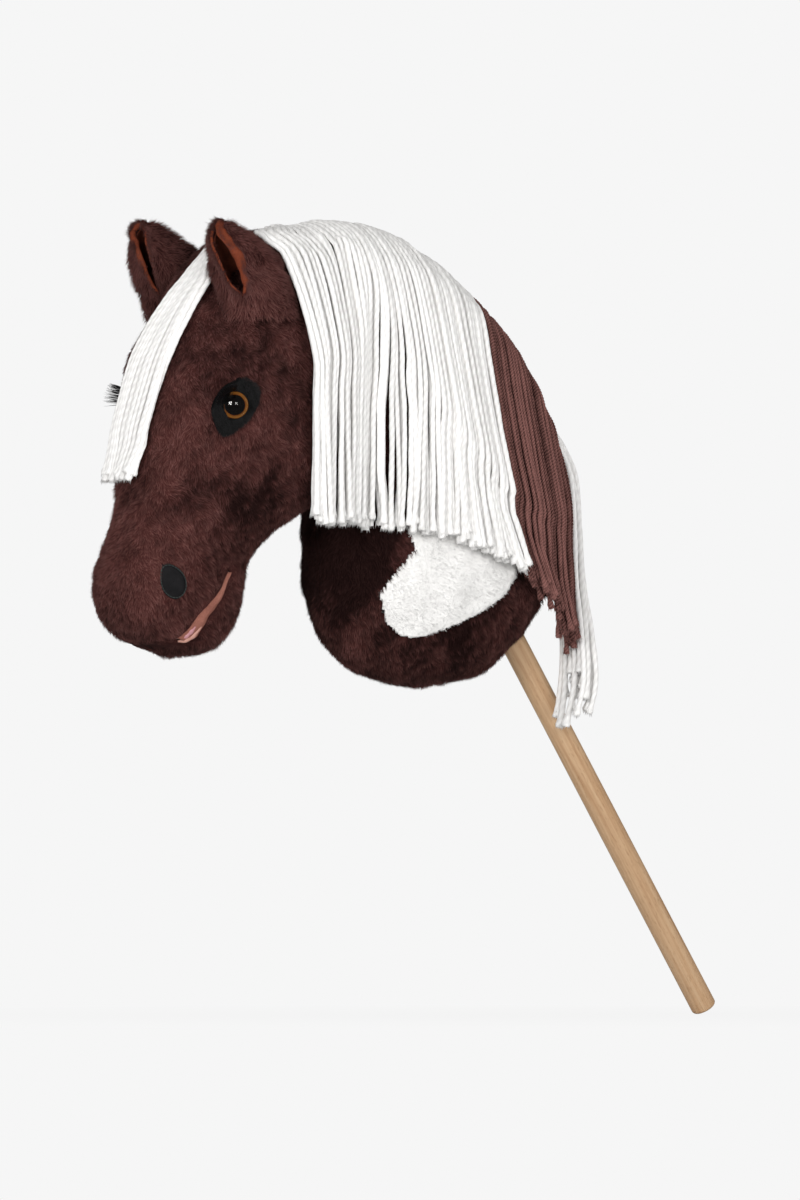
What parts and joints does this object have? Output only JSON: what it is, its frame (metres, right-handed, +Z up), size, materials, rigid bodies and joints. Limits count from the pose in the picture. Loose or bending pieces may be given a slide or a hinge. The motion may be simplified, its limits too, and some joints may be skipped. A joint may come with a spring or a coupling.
{
  "type": "hobby horse",
  "caption": "Stuffed plush horse head and neck with yarn mane and forelock on a round wooden stick; ears flex and the mane swings.",
  "frame": {"origin": "on the stick's axis, in the middle of the rider's grip, where the stick leaves the neck", "axes": "-X is where the horse faces, -Y is its near (left) side, +Z is up, with the stick leaning 33.6 degrees as it is held"},
  "size_m": [0.6626, 0.1744, 0.6877],
  "materials": {
    "beech": "sanded beech, clear matt varnish",
    "cotton": "plain woven cotton",
    "nylon": "matt nylon",
    "fibre": "loose polyester fibre filling",
    "plush_brown": "short-pile plush",
    "plush_white": "short-pile plush",
    "lining_salmon": "short velour",
    "satin_pink": "satin",
    "lining_rust": "brushed velour",
    "felt_black": "felt",
    "lash_black": "fine bristle",
    "thread_grey": "satin stitching",
    "eye_amber": "moulded, polished",
    "eye_clear": "clear, polished",
    "yarn_white": "plied acrylic yarn",
    "yarn_brown": "plied acrylic yarn"
  },
  "bodies": {
    "body": {"stick": "beech", "stick_sleeve": "cotton", "sleeve_tie": "nylon", "head_stuffing": "fibre", "neck_stuffing": "fibre", "face_panel_left": "plush_brown", "face_panel_right": "plush_brown", "forehead_gusset": "plush_brown", "chin_panel": "plush_brown", "neck_panel_left": "plush_brown", "neck_panel_right": "plush_brown", "base_panel": "plush_brown", "neck_white_patch": "plush_white", "mouth_lining": "lining_salmon", "lower_lip": "satin_pink", "eye_base_left": "eye_amber", "eye_base_right": "eye_amber", "eye_lens_left": "eye_clear", "eye_lens_right": "eye_clear", "eye_washer_left": "nylon", "eye_washer_right": "nylon", "eye_patch_left": "felt_black", "eye_patch_right": "felt_black", "eye_lashes_left": "lash_black", "eye_lashes_right": "lash_black", "nostril_felt_left": "felt_black", "nostril_felt_right": "felt_black", "nostril_stitching_left": "thread_grey", "nostril_stitching_right": "thread_grey", "mane_tape": "cotton"},
    "ear_left": {"ear_left": "plush_brown", "ear_lining_left": "lining_rust"},
    "ear_right": {"ear_right": "plush_brown", "ear_lining_right": "lining_rust"},
    "forelock": {"forelock": "yarn_white"},
    "mane_white_1": {"mane_white_front_1": "yarn_white"},
    "mane_white_2": {"mane_white_front_2": "yarn_white"},
    "mane_white_3": {"mane_white_front_3": "yarn_white"},
    "mane_brown_1": {"mane_brown_1": "yarn_brown"},
    "mane_brown_2": {"mane_brown_2": "yarn_brown"},
    "mane_rear": {"mane_white_rear": "yarn_white"}
  },
  "joints": [
    {"name": "ear_left_flex", "type": "hinge", "parent": "body", "child": "ear_left", "pos_m": [-0.355, -0.0554, 0.343], "axis": [0, 1, 0], "range_deg": [-20, 20], "stiffness_Nm_per_rad": 0.15},
    {"name": "ear_right_flex", "type": "hinge", "parent": "body", "child": "ear_right", "pos_m": [-0.355, 0.0555, 0.343], "axis": [0, 1, 0], "range_deg": [-20, 20], "stiffness_Nm_per_rad": 0.15},
    {"name": "forelock_swing", "type": "hinge", "parent": "body", "child": "forelock", "pos_m": [-0.3691, 0, 0.386], "axis": [0, 1, 0], "range_deg": [0, 35]},
    {"name": "mane_white_1_swing", "type": "hinge", "parent": "body", "child": "mane_white_1", "pos_m": [-0.272, 0, 0.4093], "axis": [-0.9998, 0, 0.022], "range_deg": [0, 30]},
    {"name": "mane_white_2_swing", "type": "hinge", "parent": "body", "child": "mane_white_2", "pos_m": [-0.1953, 0, 0.4], "axis": [-0.9744, 0, 0.225], "range_deg": [0, 30]},
    {"name": "mane_white_3_swing", "type": "hinge", "parent": "body", "child": "mane_white_3", "pos_m": [-0.1243, 0, 0.3726], "axis": [-0.8767, 0, 0.481], "range_deg": [0, 30]},
    {"name": "mane_brown_1_swing", "type": "hinge", "parent": "body", "child": "mane_brown_1", "pos_m": [-0.0648, 0, 0.3291], "axis": [-0.866, 0, 0.5], "range_deg": [0, 30]},
    {"name": "mane_brown_2_swing", "type": "hinge", "parent": "body", "child": "mane_brown_2", "pos_m": [-0.0192, 0, 0.263], "axis": [-0.766, 0, 0.6428], "range_deg": [0, 30]},
    {"name": "mane_rear_swing", "type": "hinge", "parent": "body", "child": "mane_rear", "pos_m": [0.0101, -0.007, 0.198], "axis": [-0.766, 0, 0.6428], "range_deg": [0, 30]}
  ]
}
